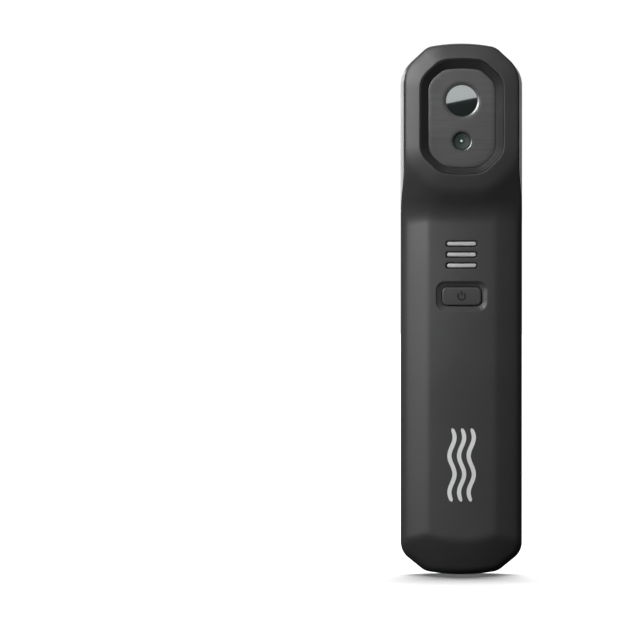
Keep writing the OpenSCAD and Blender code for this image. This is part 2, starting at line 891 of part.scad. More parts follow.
// Extension spring as a plain tube between the anchor and the crossbar
module clip_spring(side) {
    low = anchor_z + spring_pin_r + 0.1;
    high = crossbar_z - spring_pin_r - 0.1;
    color("#9b9b9b") translate([side * spring_x, bar_y, low]) difference() {
        cylinder(r = spring_r, h = high - low);
        translate([0, 0, -1]) cylinder(r = spring_r - spring_wire, h = high - low + 2);
    }
}

module clip_spring_left() {
    clip_spring(-1);
}

module clip_spring_right() {
    clip_spring(1);
}

front_shell();
rear_shell();
shell_seal();
window_bezel();
window_gasket();
window_plate();
thermal_window();
thermal_lens_trim();
thermal_lens_barrel();
shutter_housing();
shutter_blade();
shutter_motor();
thermal_core();
core_board();
visible_lens();
visible_lens_trim();
visible_camera();
camera_flex();
camera_carrier();
carrier_screws();
main_board();
board_screws();
shield_can();
status_leds();
light_guide();
power_button();
tact_switch();
switch_plunger();
battery();
battery_pad();
head_flex();
antenna();
usb_c_port();
usb_c_tongue();
housing_screws();
rear_cover();
cover_screws();
cover_pad();
rating_label();
lower_jaw();
lower_jaw_pad();
lower_jaw_screws();
clip_carriage();
upper_jaw_pad();
carriage_pad();
slide_strap();
strap_screws();
spring_crossbar();
spring_anchor();
clip_spring_left();
clip_spring_right();
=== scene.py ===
"""Thermal imaging camera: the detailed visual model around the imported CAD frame.

Lengths in this file are millimetres until they become mesh vertices, which are metres in the CAD frame:
+Z up the handle, lenses along -Y, phone clip on the +Y side. A "height" is a distance towards -Y.
"""

import json
import math

import bpy
import numpy as np
from mathutils import Matrix, Vector, geometry


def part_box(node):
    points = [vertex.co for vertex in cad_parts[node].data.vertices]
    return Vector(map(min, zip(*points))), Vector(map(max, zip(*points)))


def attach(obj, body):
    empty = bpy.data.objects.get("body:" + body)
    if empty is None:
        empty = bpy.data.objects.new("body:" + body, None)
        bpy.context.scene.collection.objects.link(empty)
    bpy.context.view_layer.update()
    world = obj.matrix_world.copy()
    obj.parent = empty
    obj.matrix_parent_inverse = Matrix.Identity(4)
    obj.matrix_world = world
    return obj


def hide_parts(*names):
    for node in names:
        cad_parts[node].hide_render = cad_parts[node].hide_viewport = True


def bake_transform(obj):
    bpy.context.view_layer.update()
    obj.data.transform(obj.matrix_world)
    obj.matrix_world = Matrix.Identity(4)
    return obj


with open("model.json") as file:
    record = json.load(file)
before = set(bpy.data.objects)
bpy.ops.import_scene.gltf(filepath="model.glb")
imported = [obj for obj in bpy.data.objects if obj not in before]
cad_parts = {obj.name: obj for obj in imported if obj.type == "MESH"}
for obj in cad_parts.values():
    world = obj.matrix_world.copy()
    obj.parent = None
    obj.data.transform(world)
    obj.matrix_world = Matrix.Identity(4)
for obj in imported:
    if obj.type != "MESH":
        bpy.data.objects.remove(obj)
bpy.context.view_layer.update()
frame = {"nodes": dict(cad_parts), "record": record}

MM = 0.001


def node_box(node):
    """Low and high corners of a CAD node at rest, in millimetres."""
    low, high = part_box(node)
    return [v / MM for v in low], [v / MM for v in high]


# ---------------- sizes taken from the frame

FRONT_LOW, FRONT_HIGH = node_box("front_shell")
REAR_HIGH = node_box("rear_shell")[1]
PLATE_LOW, PLATE_HIGH = node_box("window_plate")
BEZEL_LOW, BEZEL_HIGH = node_box("window_bezel")
LENS_LOW, LENS_HIGH = node_box("thermal_window")
EYE_LOW, EYE_HIGH = node_box("visible_lens")
GUIDE_LOW, GUIDE_HIGH = node_box("light_guide")
BUTTON_LOW, BUTTON_HIGH = node_box("power_button")
COVER_LOW, COVER_HIGH = node_box("rear_cover")
CARRIAGE_LOW, CARRIAGE_HIGH = node_box("clip_carriage")
JAW_LOW, JAW_HIGH = node_box("lower_jaw")
SADDLE_Y = node_box("carriage_pad")[0][1]
STRAP_LOW, STRAP_HIGH = node_box("slide_strap")
JAW_TOP_Z = node_box("upper_jaw_pad")[1][2]
JAW_FLOOR_Z = node_box("lower_jaw_pad")[0][2]

LENGTH = FRONT_HIGH[2]
HALF_W = FRONT_HIGH[0]
RIM = -FRONT_LOW[1]
FACE = RIM - 6
PART_Y = FRONT_HIGH[1]
BACK_Y = REAR_HIGH[1]
HEAD_INSET = 1.0
NECK_Z = CARRIAGE_LOW[2] - 0.3
FLARE_TOP_Z = NECK_Z + 15.8

CREASE_X = 9.55
CREASE_HEIGHT = FACE - 0.5
CREASE_SOFT = 0.22
BEVEL_W = HALF_W - CREASE_X
BEVEL_START = 0.37
BEVEL_TURN = 0.29
BLEND_REACH = 3.0
HANDLE_EDGE_R = 2.0
CROWN_R = 91.0
RIM_START = 0.25
RIM_TURN = 0.012
LIP_WIDTH = 4.7
LIP_DROP = 1.45
LIP_SLOPE = 0.74
LIP_SOFT = 0.5
FOLD_SOFT = 2.2
HEAD_EDGE_R = 0.5
CHIN_Z = 9.6
CHIN_RISE = 0.018
CHIN_SLOPE = 0.4
CHIN_TURN = 0.006
CHIN_SOFT = 0.45

RECESS_W = BEZEL_HIGH[0] - BEZEL_LOW[0] + 0.1
RECESS_H = BEZEL_HIGH[2] - BEZEL_LOW[2] + 0.1
RECESS_Z = (BEZEL_LOW[2] + BEZEL_HIGH[2]) / 2
RECESS_CUT = 5.75
RECESS_CORNER_R = 6.0
PLATE_W = PLATE_HIGH[0] - PLATE_LOW[0]
PLATE_H = PLATE_HIGH[2] - PLATE_LOW[2]
PLATE_Z = (PLATE_LOW[2] + PLATE_HIGH[2]) / 2
PLATE_Y = PLATE_LOW[1]
PLATE_CUT = 4.2
PLATE_CORNER_R = 5.0
PLATE_DOME_R = 420.0
CUT_SHRINK = 2 - math.sqrt(2)
BOW = 0.35
BOW_R = 30.0
LENS_Z = (LENS_LOW[2] + LENS_HIGH[2]) / 2
LENS_R = LENS_HIGH[0]
COLLAR_R = 5.2
EYE_Z = (EYE_LOW[2] + EYE_HIGH[2]) / 2
EYE_WELL_R = 2.5
EYE_COLLAR_R = 2.9

BAR_W, BAR_H, BAR_R = 8.2, 1.15, 0.56
SLOT_W, SLOT_H, SLOT_R = 9.0, 1.75, 0.85
SLOT_DEPTH = 1.6
BAR_PITCH = (GUIDE_HIGH[2] - GUIDE_LOW[2] - 3.2) / 2
BARS_Z = [(GUIDE_LOW[2] + GUIDE_HIGH[2]) / 2 + k * BAR_PITCH for k in (-1, 0, 1)]
BUTTON_Z = (BUTTON_LOW[2] + BUTTON_HIGH[2]) / 2
POCKET_W, POCKET_H, POCKET_R = 14.05, 8.0, 2.4
POCKET_DEPTH = 0.95
CAP_W, CAP_H, CAP_R = 11.0, 5.1, 1.35
CAP_GAP = 0.12
CAP_HOLE_R = 1.5

SEAM = 0.12
HIDDEN_EDGE = 0.08
COVER_TOP_Z = COVER_HIGH[2] - 1.5
SLIDE_TRAVEL = 32.0
WING_Y = -7.9
JAW_HALF_W = 12.0
JAW_LIP = 2.8
JAW_EDGE_R = 0.8


# ---------------- outlines in the (x, z) plane

def arc_from(p, r, a0, a1, n, first=0):
    """Points of an arc of radius r that starts at p, with its normal turning from a0 to a1 degrees."""
    points = []
    start = math.radians(a0)
    for i in range(first, n + 1):
        a = math.radians(a0 + (a1 - a0) * i / n)
        dx, dy = math.cos(a) - math.cos(start), math.sin(a) - math.sin(start)
        points.append((p[0] + r * dx, p[1] + r * dy))
    return points


def end_cap(half, crown_r, crown_a, knee_r, diagonal_a, side_r):
    """One end of the outline, from the side to the apex at height 0."""
    crown = math.radians(crown_a)
    slant = math.radians(diagonal_a)
    run = half - crown_r * math.cos(crown) - knee_r * (math.cos(slant) - math.cos(crown))
    run -= side_r * (1 - math.cos(slant))
    p1 = (half + side_r * (math.cos(slant) - 1), side_r * math.sin(slant))
    step = run / math.sin(slant)
    p2 = (p1[0] - step * math.sin(slant), p1[1] + step * math.cos(slant))
    points = arc_from((half, 0), side_r, 0, diagonal_a, 16)
    points += arc_from(p2, knee_r, diagonal_a, crown_a, 10)
    points += arc_from(points[-1], crown_r, crown_a, 90, 14, 1)
    apex = points[-1][1]
    return [(x, z - apex) for x, z in points]


def top_cap(half, z):
    """Upper end of an outline: its right half, up to the apex at height z."""
    return [(x, z + dz) for x, dz in end_cap(half, 46, 80, 5, 47.3, half - 8)]


def bottom_cap(half, z):
    """Lower end of an outline: its right half, up from the lowest point at height z."""
    return [(x, z - dz) for x, dz in reversed(end_cap(half, 57, 81, 5, 51, half - 11.5))]


def both_sides(right):
    """Closes a right half that runs from the lowest point to the highest."""
    return right + [(-x, z) for x, z in reversed(right[1:-1])]


def flared_outline():
    """The front shell: full width at the handle, flaring smoothly into the narrower head."""
    steps = 24
    neck = []
    for i in range(steps + 1):
        half = HALF_W - HEAD_INSET * (1 - math.cos(math.pi * (i / steps))) / 2
        neck.append((half, NECK_Z + (FLARE_TOP_Z - NECK_Z) * i / steps))
    return both_sides(bottom_cap(HALF_W, 0) + neck + top_cap(HALF_W - HEAD_INSET, LENGTH))


def stepped_outline():
    """The rear shell: the head is narrower from the neck up, to make room for the clip's sides."""
    neck = [(HALF_W, NECK_Z), (HALF_W - HEAD_INSET, NECK_Z)]
    return both_sides(bottom_cap(HALF_W, 0) + neck + top_cap(HALF_W - HEAD_INSET, LENGTH))


def rounded(points, radii, n=6):
    """Rounds each corner of a polygon with its own radius."""
    out = []
    count = len(points)
    for i, b in enumerate(points):
        r = radii[i]
        b = np.array(b, float)
        if r <= 0:
            out.append(tuple(b))
            continue
        u = np.array(points[i - 1], float) - b
        v = np.array(points[(i + 1) % count], float) - b
        u /= np.linalg.norm(u)
        v /= np.linalg.norm(v)
        half = math.acos(float(np.clip(u @ v, -1, 1))) / 2
        between = (u + v) / np.linalg.norm(u + v)
        centre = b + between * r / math.sin(half)
        p = b + u * r / math.tan(half) - centre
        q = b + v * r / math.tan(half) - centre
        a0 = math.atan2(p[1], p[0])
        sweep = (math.atan2(q[1], q[0]) - a0 + math.pi) % (2 * math.pi) - math.pi
        for k in range(n + 1):
            a = a0 + sweep * k / n
            out.append((centre[0] + r * math.cos(a), centre[1] + r * math.sin(a)))
    return out


def round_rect(w, h, r, centre, n=6, side=1):
    """Rounded rectangle; each straight side is split into the given number of pieces."""
    x, y = w / 2, h / 2
    cx, cy = centre
    corners = [(cx - x, cy - y), (cx + x, cy - y), (cx + x, cy + y), (cx - x, cy + y)]
    loop = rounded(corners, [r] * 4, n)
    out = []
    for i, a in enumerate(loop):
        out.append(a)
        if i % (n + 1) == n:
            b = loop[(i + 1) % len(loop)]
            dx, dy = b[0] - a[0], b[1] - a[1]
            out += [(a[0] + dx * k / side, a[1] + dy * k / side) for k in range(1, side)]
    return out


def octagon(w, h, cut, r, z, inset):
    """The window's shape: a rectangle with slanted, softened corners and bowed top and bottom edges.

    The inset moves the whole outline inwards.
    """
    x, y = (w - 2 * inset) / 2, (h - 2 * inset) / 2
    cut -= inset * CUT_SHRINK
    r -= inset
    corners = [
        (-x + cut, -y + BOW), (0, -y), (x - cut, -y + BOW), (x, -y + cut), (x, y - cut),
        (x - cut, y - BOW), (0, y), (-x + cut, y - BOW), (-x, y - cut), (-x, -y + cut),
    ]
    radii = [r, BOW_R, r, r, r, r, BOW_R, r, r, r]
    return [(px, py + z) for px, py in rounded(corners, radii, 10)]


def recess_outline(inset=0.0):
    """The opening in the head."""
    return octagon(RECESS_W, RECESS_H, RECESS_CUT, RECESS_CORNER_R, RECESS_Z, inset)


def plate_outline(inset=0.0):
    """The window plate."""
    return octagon(PLATE_W, PLATE_H, PLATE_CUT, PLATE_CORNER_R, PLATE_Z, inset)


def circle(r, centre, n):
    """n points of a circle."""
    angles = [2 * math.pi * i / n for i in range(n)]
    return [(centre[0] + r * math.cos(a), centre[1] + r * math.sin(a)) for a in angles]


def resample(points, step):
    """Splits the long edges of a closed polygon, so that no edge is longer than step."""
    out = []
    for i, a in enumerate(points):
        b = points[(i + 1) % len(points)]
        count = max(1, math.ceil(math.dist(a, b) / step - 1e-6))
        for k in range(count):
            t = k / count
            p = (a[0] + (b[0] - a[0]) * t, a[1] + (b[1] - a[1]) * t)
            if not out or math.dist(out[-1], p) > 1e-4:
                out.append(p)
    if math.dist(out[0], out[-1]) < 1e-4:
        out.pop()
    return out


def edge_distance(points, loop):
    """Distance from each point to a closed polygon, positive inside it."""
    p = np.asarray(points, float)
    a = np.asarray(loop, float)
    b = np.roll(a, -1, axis=0)
    best = np.full(len(p), 1e9)
    inside = np.zeros(len(p), bool)
    for (ax, ay), (bx, by) in zip(a, b):
        dx, dy = bx - ax, by - ay
        t = np.clip(((p[:, 0] - ax) * dx + (p[:, 1] - ay) * dy) / (dx * dx + dy * dy), 0, 1)
        best = np.minimum(best, np.hypot(p[:, 0] - ax - t * dx, p[:, 1] - ay - t * dy))
        if dy:
            crosses = (ay > p[:, 1]) != (by > p[:, 1])
            inside ^= crosses & (p[:, 0] < ax + dx * (p[:, 1] - ay) / dy)
    return np.where(inside, best, -best)


def offset_loop(loop, by):
    """Moves a closed counter-clockwise polygon inwards along its vertex normals."""
    a = np.asarray(loop, float)
    tangent = np.roll(a, -1, axis=0) - np.roll(a, 1, axis=0)
    tangent /= np.linalg.norm(tangent, axis=1)[:, None]
    return a + by * np.column_stack([-tangent[:, 1], tangent[:, 0]])


def insets(r, angles):
    """Distances from the side at which a rounded edge of radius r reaches the given angles."""
    return [r * (1 - math.cos(math.radians(a))) for a in angles]


def rounding(r):
    """(inset, drop) pairs of a rounded edge, from the side to the flat."""
    angles = (0, 22.5, 45, 67.5, 90)
    return [(inset, r * (1 - math.sin(math.radians(a)))) for inset, a in zip(insets(r, angles), angles)]


def rounded_ends(low, high, edge):
    """(place, inset) rows along a bar from low to high, with both of its ends rounded."""
    rows = [(low + drop, inset) for inset, drop in reversed(rounding(edge))]
    return rows + [(high - drop, inset) for inset, drop in rounding(edge)]


def triangulate(loops, free=()):
    """Triangulates the area inside the first loop and outside the others, through the free points.

    Returns the points, the triangles, and the numbers of the given points behind each point.
    """
    given = [tuple(p) for loop in loops for p in loop] + [tuple(p) for p in free]
    edges = []
    start = 0
    for loop in loops:
        edges += [(start + i, start + (i + 1) % len(loop)) for i in range(len(loop))]
        start += len(loop)
    found = geometry.delaunay_2d_cdt([Vector(p) for p in given], edges, [], 1, 1e-5)
    points, faces, sources = found[0], found[2], found[3]
    points = np.array([tuple(p) for p in points])
    centres = np.array([np.mean([points[i] for i in face], axis=0) for face in faces])
    keep = edge_distance(centres, loops[0]) > 0
    for loop in loops[1:]:
        keep &= edge_distance(centres, loop) < 0
    return points, [face for face, kept in zip(faces, keep) if kept], sources


# ---------------- the housing's front surface

def soft_min(a, b, k):
    """The lower of two heights, blended over a height k where they cross."""
    h = np.clip(0.5 + 0.5 * (b - a) / k, 0, 1)
    return b * (1 - h) + a * h - k * h * (1 - h)


def soft_max(a, b, k):
    """The higher of two heights, blended over a height k where they cross."""
    return -soft_min(-a, -b, k)


def edge_drop(d, r):
    """How far a rounded edge of radius r has dropped at a distance d from the side."""
    t = 1 - np.clip(d / r, 0, 1)
    return r * (1 - np.sqrt(np.clip(1 - t * t, 0, 1)))


RECESS = recess_outline()
FRONT_OUTLINE = resample(flared_outline(), 0.6)


def handle_height(points):
    """Slightly crowned face with a convex bevel along each side and a chin that turns under."""
    x, z = points[:, 0], points[:, 1]
    crown = FACE - x * x / (2 * CROWN_R)
    out = np.clip(np.abs(x) - CREASE_X, -BLEND_REACH, BEVEL_W)
    bevel = CREASE_HEIGHT - BEVEL_START * out - BEVEL_TURN * out ** 3 / (3 * BEVEL_W ** 2)
    below = np.maximum(CHIN_Z + CHIN_RISE * x * x - z, -BLEND_REACH)
    chin = crown - CHIN_SLOPE * below - CHIN_TURN * below * below
    return soft_min(soft_min(crown, bevel, CREASE_SOFT), chin, CHIN_SOFT)


def head_height(points):
    """The head swells around the window, turns over at a soft lip and slopes back to the handle."""
    d = np.maximum(-edge_distance(points, RECESS), 0)
    rim = RIM - RIM_START * d - RIM_TURN * d * d
    underside = RIM - LIP_DROP - LIP_SLOPE * (d - LIP_WIDTH)
    return soft_min(rim, underside, LIP_SOFT)


def front_height(points):
    """Handle and head together, each with its own rounded edge, and a soft fold between them."""
    side = np.maximum(edge_distance(points, FRONT_OUTLINE), 0)
    head = head_height(points) - edge_drop(side, HEAD_EDGE_R)
    handle = handle_height(points) - edge_drop(side, HANDLE_EDGE_R)
    return soft_max(handle, head, FOLD_SOFT)


# ---------------- meshes

def add_object(name, data):
    """Puts an object with the given data into the scene."""
    added = bpy.data.objects.new(name, data)
    bpy.context.scene.collection.objects.link(added)
    return added


def around(ring):
    """Number pairs of a ring's neighbouring points."""
    return [(i, (i + 1) % len(ring)) for i in range(len(ring))]


class Solid:
    """Collects vertices and faces. Depth y runs towards the back; facing is -1 for a front surface."""

    def __init__(self, facing=-1):
        self.verts = []
        self.faces = []
        self.facing = facing

    def add(self, point):
        """Adds a vertex and returns its number."""
        self.verts.append(tuple(float(c) for c in point))
        return len(self.verts) - 1

    def face(self, loop):
        """Adds a face that is counter-clockwise when it is seen from the front."""
        self.faces.append(tuple(loop) if self.facing < 0 else tuple(reversed(loop)))

    def ring(self, loop, y):
        """Adds a loop of (x, z) points, at one depth or at one depth per point."""
        depths = y if hasattr(y, "__len__") else [y] * len(loop)
        return [self.add((x, d, z)) for (x, z), d in zip(loop, depths)]

    def bridge(self, a, b):
        """Joins two rings: b lies behind a on an outer wall, or in front of it on a hole's wall."""
        for i, j in around(a):
            self.face((a[i], b[i], b[j], a[j]))

    def cap(self, ring, front=True):
        """Closes a ring with one face."""
        self.face(ring if front else list(reversed(ring)))

    def skirt(self, rim, rows):
        """Carries a rim back through rows of (depth, inset) and closes the last one."""
        seam = self.points_at(rim)
        for y, inset in rows:
            ring = self.ring(offset_loop(seam, inset), y)
            self.bridge(rim, ring)
            rim = ring
        self.cap(rim, front=False)

    def pit(self, rim, depth):
        """Gives a hole straight walls and a flat floor."""
        floor = self.ring(self.points_at(rim), depth)
        self.bridge(floor, rim)
        self.cap(floor)

    def hoop(self, rows):
        """Makes a ring whose section runs through rows of (loop, depth) and back to the first."""
        rings = [self.ring(loop, y) for loop, y in rows]
        for a, b in zip(rings, rings[1:] + rings[:1]):
            self.bridge(b, a)

    def stack(self, loops):
        """Joins loops of (x, y, z) points, from one end to the other, and closes both ends."""
        rings = [[self.add(point) for point in loop] for loop in loops]
        for a, b in zip(rings, rings[1:]):
            self.faces += [(a[i], a[j], b[j], b[i]) for i, j in around(a)]
        self.faces += [tuple(reversed(rings[0])), tuple(rings[-1])]

    def surface(self, outline, holes, height, spacing, edge_steps):
        """Covers the area inside outline and outside holes, at depths of facing times the height.

        A hole is a loop and the radius of its rounded edge. Edge steps are the distances from the outline
        of the rings of points along it. Returns the vertex numbers of the outline and of each hole.
        """
        free = [offset_loop(outline, d) for d in edge_steps]
        for loop, r in holes:
            free += [offset_loop(loop, -d) for d in insets(r, (22, 45, 68, 90))]
            free.append(offset_loop(loop, -r - spacing * 0.6))
        low = np.min(outline, axis=0)
        high = np.max(outline, axis=0)
        # the grid is one of equilateral triangles
        rows = np.arange(low[1], high[1], spacing * 0.866)
        grid = np.array([
            (x + (spacing / 2 if i % 2 else 0), z)
            for i, z in enumerate(rows)
            for x in np.arange(low[0], high[0], spacing)
        ])
        keep = edge_distance(grid, outline) > max(edge_steps) + spacing * 0.6
        for loop, r in holes:
            keep &= edge_distance(grid, loop) < -r - spacing * 1.1
        inner = np.concatenate(free + [grid[keep]])
        clear = edge_distance(inner, outline) > 1e-3
        for loop, _ in holes:
            clear &= edge_distance(inner, loop) < -1e-3
        loops = [outline] + [loop for loop, _ in holes]
        points, faces, sources = triangulate(loops, inner[clear])
        heights = height(points)
        for loop, r in holes:
            heights = heights - edge_drop(np.maximum(-edge_distance(points, loop), 0), r)
        base = len(self.verts)
        self.ring(points, self.facing * heights)
        for face in faces:
            self.face([base + i for i in face])
        place = {number: base + i for i, numbers in enumerate(sources) for number in numbers}
        rims = []
        start = 0
        for loop in loops:
            rims.append([place[start + i] for i in range(len(loop))])
            start += len(loop)
        return rims[0], rims[1:]

    def panel(self, outline, level, edge, angles, spacing, holes=()):
        """Covers an outline at a level, which is a number or a function, with a rounded edge.

        The angles say where rings of points follow the edge.
        """
        def height(points):
            side = np.maximum(edge_distance(points, outline), 0)
            flat = level(points) if callable(level) else level
            return flat - edge_drop(side, edge)

        return self.surface(outline, holes, height, spacing, insets(edge, angles))

    def fill_back(self, rims):
        """Closes the flat back between an outline's ring and its hole rings."""
        _, faces, sources = triangulate([self.points_at(rim) for rim in rims])
        index = [i for rim in rims for i in rim]
        for face in faces:
            self.face([index[sources[i][0]] for i in reversed(face)])

    def join(self, other):
        """Takes in another solid's vertices and faces."""
        base = len(self.verts)
        self.verts += other.verts
        self.faces += [tuple(base + i for i in face) for face in other.faces]

    def points_at(self, ring):
        """The (x, z) points of a ring."""
        return [(self.verts[i][0], self.verts[i][2]) for i in ring]

    def piece(self, name, material, body, slot, node=None, sharp=40):
        """Makes the mesh, smooth but for the edges that are sharper than the given angle."""
        mesh = bpy.data.meshes.new(name)
        mesh.from_pydata([tuple(c * MM for c in v) for v in self.verts], [], self.faces)
        mesh.validate()
        made = add_object(name, mesh)
        mesh.shade_smooth()
        mesh.set_sharp_from_angle(angle=math.radians(sharp))
        mesh.materials.append(material)
        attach(made, body)
        if node:
            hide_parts(node)


def slab(shape, front, back, edge, facing=-1):
    """A closed slab between two depths, with a rounded edge on the side that faces out.

    shape(inset) gives the outline, always with the same number of points.
    """
    solid = Solid(facing)
    near, far = (front, back) if facing < 0 else (back, front)
    rings = [solid.ring(shape(HIDDEN_EDGE), far), solid.ring(shape(0), far + facing * HIDDEN_EDGE)]
    for inset, drop in rounding(edge):
        rings.append(solid.ring(shape(inset), near - facing * drop))
    for a, b in zip(rings, rings[1:]):
        solid.bridge(b, a)
    solid.cap(rings[-1])
    solid.cap(rings[0], front=False)
    return solid


def lathe(profile, z, segments):
    """A solid turned about an axis along Y at height z, from (radius, depth) points, back to front."""
    solid = Solid()
    rings = []
    for r, y in reversed(profile):
        rings.append(solid.ring(circle(r, (0, z), segments), y) if r else [solid.add((0, y, z))])
    for a, b in zip(rings, rings[1:]):
        if len(a) == 1:
            for i, j in around(b):
                solid.face((a[0], b[i], b[j]))
        elif len(b) == 1:
            for i, j in around(a):
                solid.face((a[i], b[0], a[j]))
        else:
            solid.bridge(a, b)
    return solid


# ---------------- materials

def add_node(tree, kind, **values):
    """A new node. An underscore stands for each space in the name of an input."""
    node = tree.nodes.new(kind)
    for name, value in values.items():
        label = name.replace("_", " ")
        if label in node.inputs:
            node.inputs[label].default_value = value
        else:
            setattr(node, name, value)
    return node


def times(colour, factor):
    """A colour made darker or lighter."""
    return tuple(min(1.0, c * factor) for c in colour)


class Look:
    """A material in the making, whose patterns lie in the piece's own space, in metres."""

    def __init__(self, name, colour, roughness, metallic=0.0, specular=0.5):
        self.material = bpy.data.materials.new(name)
        self.material.use_nodes = True
        self.tree = self.material.node_tree
        self.link = self.tree.links.new
        self.inputs = self.tree.nodes["Principled BSDF"].inputs
        self.inputs["Base Color"].default_value = (*colour, 1)
        self.inputs["Roughness"].default_value = roughness
        self.inputs["Metallic"].default_value = metallic
        self.inputs["Specular IOR Level"].default_value = specular

    def pattern(self, kind, stretch=(1, 1, 1), **values):
        """A pattern node in the piece's space, stretched along its axes."""
        place = add_node(self.tree, "ShaderNodeTexCoord")
        mapping = add_node(self.tree, "ShaderNodeMapping", Scale=stretch)
        self.link(place.outputs["Object"], mapping.inputs["Vector"])
        node = add_node(self.tree, kind, **values)
        self.link(mapping.outputs["Vector"], node.inputs["Vector"])
        return node

    def noise(self, scale, detail=2.0, rough=0.5, stretch=(1, 1, 1)):
        """Smooth noise of the given scale."""
        node = self.pattern("ShaderNodeTexNoise", stretch, Scale=scale, Detail=detail, Roughness=rough)
        return node.outputs["Fac"]

    def tint(self, factor, a, b):
        """Colours the surface between two colours."""
        node = add_node(self.tree, "ShaderNodeMix", data_type="RGBA")
        node.inputs[6].default_value = (*a, 1)
        node.inputs[7].default_value = (*b, 1)
        self.link(factor, node.inputs[0])
        self.link(node.outputs[2], self.inputs["Base Color"])

    def wear(self, value, low, high, source=(0.0, 1.0)):
        """Roughness from low to high, as the value goes through its source range."""
        node = add_node(self.tree, "ShaderNodeMapRange", From_Min=source[0], From_Max=source[1])
        node.inputs["To Min"].default_value = low
        node.inputs["To Max"].default_value = high
        self.link(value, node.inputs["Value"])
        self.link(node.outputs["Result"], self.inputs["Roughness"])

    def bump(self, height, strength, distance):
        """Surface relief, with its distance in metres."""
        node = add_node(self.tree, "ShaderNodeBump", Strength=strength, Distance=distance)
        self.link(height, node.inputs["Height"])
        self.link(node.outputs["Normal"], self.inputs["Normal"])


def moulded_plastic(name, colour, roughness, grain=2600.0, depth=0.00002, wear=0.25):
    """Moulded plastic: spark-eroded grain, faint flow mottling, and patches polished by handling."""
    look = Look(name, colour, roughness)
    look.tint(look.noise(90.0, 4.0, 0.55), times(colour, 0.88), times(colour, 1.12))
    spread = roughness * wear
    look.wear(look.noise(28.0, 3.0), roughness - spread * 0.5, roughness + spread, (0.3, 0.7))
    look.bump(look.noise(grain, 2.0, 0.6), 0.35, depth)
    return look.material


def brushed_metal(name, colour, roughness, along, metallic=1.0, strength=0.12):
    """Metal or anodised film brushed along one axis."""
    look = Look(name, colour, roughness, metallic)
    stretch = [3000.0, 3000.0, 3000.0]
    stretch["XYZ".index(along)] = 60.0
    lines = look.noise(1.0, 3.0, 0.6, stretch)
    look.tint(lines, times(colour, 0.75), times(colour, 1.25))
    look.wear(look.noise(120.0, 3.0), roughness * 0.95, roughness * 1.1, (0.3, 0.7))
    look.bump(lines, strength, 0.00001)
    return look.material


def rubber_material(name, colour):
    """Matt rubber with a dusty bloom and a fine pebbled skin."""
    look = Look(name, colour, 0.75, specular=0.35)
    dust = look.noise(160.0, 5.0, 0.6)
    look.tint(dust, colour, times(colour, 1.5))
    look.wear(dust, 0.65, 0.9)
    look.bump(look.noise(1800.0, 3.0, 0.6), 0.4, 0.00003)
    look.inputs["Sheen Weight"].default_value = 0.15
    return look.material


def lens_glass(name, colour, tint, roughness=0.04, metallic=0.0):
    """Coated lens: a dark mirror whose anti-reflection film drifts in tint across its face."""
    look = Look(name, colour, roughness, metallic, 0.9)
    look.tint(look.noise(140.0, 1.0, 0.4), colour, tint)
    look.wear(look.noise(400.0, 4.0), roughness, roughness * 2.2)
    look.inputs["Coat Weight"].default_value = 0.6
    look.inputs["Coat Roughness"].default_value = 0.03
    return look.material


def board_material(name):
    """Circuit board: green solder mask over faint copper tracks."""
    mask, track, gap = (0.02, 0.13, 0.06, 1), (0.03, 0.17, 0.08, 1), (0.05, 0.24, 0.1, 1)
    look = Look(name, mask[:3], 0.35)
    tracks = look.pattern("ShaderNodeTexBrick", Scale=420.0, Color1=mask, Color2=track, Mortar=gap)
    look.link(tracks.outputs["Color"], look.inputs["Base Color"])
    look.bump(tracks.outputs["Fac"], 0.3, 0.00002)
    return look.material


def bar_material(name):
    """Frosted light guide: pale and slightly cloudy, with a moulded grain."""
    look = Look(name, (0.19, 0.19, 0.19), 0.42)
    cloud = look.noise(300.0, 3.0)
    look.tint(cloud, (0.3, 0.3, 0.3), (0.4, 0.4, 0.4))
    look.wear(cloud, 0.32, 0.48)
    look.bump(look.noise(2400.0), 0.2, 0.00001)
    return look.material


BLACK = moulded_plastic("black_housing", (0.032, 0.032, 0.032), 0.42)
BEZEL = moulded_plastic("dark_bezel", (0.021, 0.021, 0.021), 0.38, grain=3200.0, depth=0.00001)
PLATE = brushed_metal("window_metal", (0.115, 0.115, 0.115), 0.32, "X", metallic=0.6, strength=0.3)
GREY = moulded_plastic("grey_plastic", (0.42, 0.42, 0.415), 0.55, grain=2400.0, depth=0.00001, wear=0.15)
BUTTON = moulded_plastic("button_plastic", (0.034, 0.034, 0.034), 0.4, grain=3000.0)
BARS = bar_material("light_bars")
RUBBER = rubber_material("rubber", (0.035, 0.035, 0.037))
GERMANIUM = lens_glass("germanium", (0.78, 0.84, 0.85), (0.84, 0.9, 0.88), metallic=1.0)
# The camera lens's pale base colour is a painted highlight: it stands in for the bright dot of reflected
# light on the small lens.
EYE_GLASS_PAINTED_HIGHLIGHT = lens_glass("camera_glass", (0.3, 0.42, 0.38), (0.42, 0.55, 0.5), 0.12)
WELL = moulded_plastic("camera_well", (0.011, 0.02, 0.018), 0.42, depth=0.000005)
COLLAR = brushed_metal("lens_collar", (0.12, 0.12, 0.12), 0.28, "Y", metallic=0.65, strength=0.05)
STEEL = brushed_metal("steel", (0.55, 0.55, 0.56), 0.3, "X")
SHIELD = brushed_metal("shield", (0.6, 0.61, 0.63), 0.35, "Z")
INNER = moulded_plastic("inner_plastic", (0.03, 0.03, 0.033), 0.5)
BOARD = board_material("board")
LED = moulded_plastic("led", (0.75, 0.73, 0.55), 0.2, depth=0.000005)
FOIL = brushed_metal("battery_foil", (0.48, 0.5, 0.55), 0.33, "Z", strength=0.3)
FLEX = moulded_plastic("flex", (0.34, 0.16, 0.05), 0.35, depth=0.000005)
LABEL = moulded_plastic("label", (0.3, 0.3, 0.3), 0.5, depth=0.000005)
PALE = moulded_plastic("pale_plastic", (0.55, 0.55, 0.53), 0.45)
MARK = moulded_plastic("mark_ink", (0.56, 0.56, 0.565), 0.5, depth=0.000005, wear=0.1)
